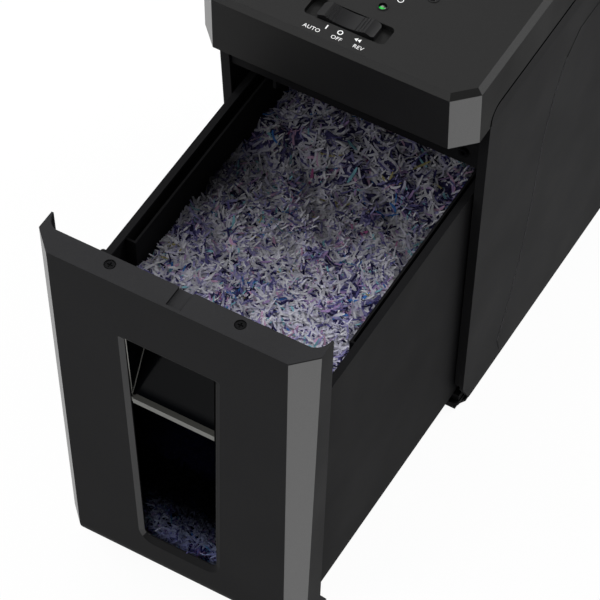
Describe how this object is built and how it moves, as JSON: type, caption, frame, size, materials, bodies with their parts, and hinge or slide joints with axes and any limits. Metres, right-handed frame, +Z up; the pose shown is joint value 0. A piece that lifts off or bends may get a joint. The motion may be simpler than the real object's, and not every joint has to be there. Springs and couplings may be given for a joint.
{
  "type": "paper shredder",
  "caption": "Cross-cut paper shredder in matt black plastic, with a top feed slot, a sliding mode switch and a pull-out bin with a window, drawn out and filled with shreds.",
  "frame": {"origin": "on the surface the shredder stands on, at the middle of its footprint with the bin drawn out 210 mm", "axes": "+X to the right seen from the front, +Y from the front to the back (the bin closes along +Y), +Z up"},
  "size_m": [0.216, 0.555, 0.382],
  "materials": {
    "head_shell": "moulded ABS, fine matt grain",
    "side_shell": "moulded ABS, fine matt grain",
    "panel_shell": "moulded ABS, satin",
    "corner_trim": "grey metallic, brushed grain",
    "tray_plastic": "moulded, matt",
    "bin_plastic": "moulded, satin",
    "gloss_black": "polished",
    "clear_pane": "clear smoke-tinted acrylic",
    "comb_plastic": "moulded",
    "gear_plastic": "natural nylon",
    "slider_plastic": "satin",
    "foot_rubber": "matt",
    "zinc_screw": "zinc plated",
    "black_screw": "black oxide",
    "plate_steel": "zinc plated",
    "cutter_steel": "oiled hardened steel",
    "rotor_steel": "ground",
    "motor_can": "satin",
    "sintered_bush": "sintered bronze",
    "board": "green laminate",
    "green_lens": "lit light pipe",
    "dark_lens": "unlit light pipe",
    "paper_shreds": "loose cross-cut paper"
  },
  "bodies": {
    "housing": {"head_cover": "head_shell", "head_trim_left": "corner_trim", "head_trim_right": "corner_trim", "side_panel_left": "side_shell", "side_panel_right": "side_shell", "back_panel": "side_shell", "back_screws": "zinc_screw", "cord_bush": "foot_rubber", "base_tray": "tray_plastic", "rubber_feet": "foot_rubber", "mechanism_deck": "tray_plastic", "front_plate": "plate_steel", "rear_plate": "plate_steel", "gear_plate": "plate_steel", "tie_rods": "plate_steel", "rod_screws": "zinc_screw", "cutter_bushes": "sintered_bush", "gear_bushes": "sintered_bush", "motor_housing": "motor_can", "motor_screws": "zinc_screw", "paper_comb_left": "comb_plastic", "paper_comb_right": "comb_plastic", "feed_throat": "head_shell", "paper_sensors": "comb_plastic", "control_pocket": "head_shell", "mode_switch": "comb_plastic", "control_board": "board", "board_screws": "zinc_screw", "ready_lamp": "green_lens", "alert_lamp": "dark_lens", "lamp_collars": "head_shell", "interlock_switch": "comb_plastic"},
    "bin": {"bin_panel": "panel_shell", "bin_trim_left": "corner_trim", "bin_trim_right": "corner_trim", "bin_window": "clear_pane", "finger_scoop": "gloss_black", "bin_front_frame": "bin_plastic", "panel_screws": "black_screw", "bin_tub": "bin_plastic", "inner_guard_left": "bin_plastic", "inner_guard_right": "bin_plastic", "shredded_paper": "paper_shreds"},
    "slider": {"mode_slider": "slider_plastic"},
    "plunger": {"interlock_plunger": "comb_plastic"},
    "left_cutter": {"cutter_left": "cutter_steel"},
    "right_cutter": {"cutter_right": "cutter_steel"},
    "second_stage": {"second_gear": "gear_plastic"},
    "first_stage": {"first_gear": "gear_plastic"},
    "rotor": {"motor_rotor": "rotor_steel"}
  },
  "joints": [
    {"name": "bin_slide", "type": "slide", "parent": "housing", "child": "bin", "axis": [0, 1, 0], "range_m": [0, 0.21]},
    {"name": "mode_slide", "type": "slide", "parent": "housing", "child": "slider", "axis": [1, 0, 0], "range_m": [-0.008, 0.008]},
    {"name": "interlock_press", "type": "slide", "parent": "housing", "child": "plunger", "axis": [0, 0, 1], "range_m": [0, 0.0025], "stiffness_N_per_m": 200},
    {"name": "cutter_right_spin", "type": "hinge", "parent": "housing", "child": "right_cutter", "pos_m": [0.018, 0.02, 0.32], "axis": [0, 1, 0], "continuous": true},
    {"name": "cutter_left_spin", "type": "hinge", "parent": "housing", "child": "left_cutter", "pos_m": [-0.018, 0.02, 0.32], "axis": [0, 1, 0], "continuous": true},
    {"name": "second_gear_spin", "type": "hinge", "parent": "housing", "child": "second_stage", "pos_m": [0.03536, 0.02, 0.29932], "axis": [0, 1, 0], "continuous": true},
    {"name": "first_gear_spin", "type": "hinge", "parent": "housing", "child": "first_stage", "pos_m": [0.04227, 0.02, 0.33363], "axis": [0, 1, 0], "continuous": true},
    {"name": "rotor_spin", "type": "hinge", "parent": "housing", "child": "rotor", "pos_m": [0.069, 0.02, 0.32], "axis": [0, 1, 0], "continuous": true}
  ],
  "couplings": [
    {"joint": "cutter_left_spin", "follows": "cutter_right_spin", "ratio": -1},
    {"joint": "second_gear_spin", "follows": "cutter_right_spin", "ratio": -2},
    {"joint": "first_gear_spin", "follows": "cutter_right_spin", "ratio": 7.3333},
    {"joint": "rotor_spin", "follows": "cutter_right_spin", "ratio": -29.333}
  ]
}
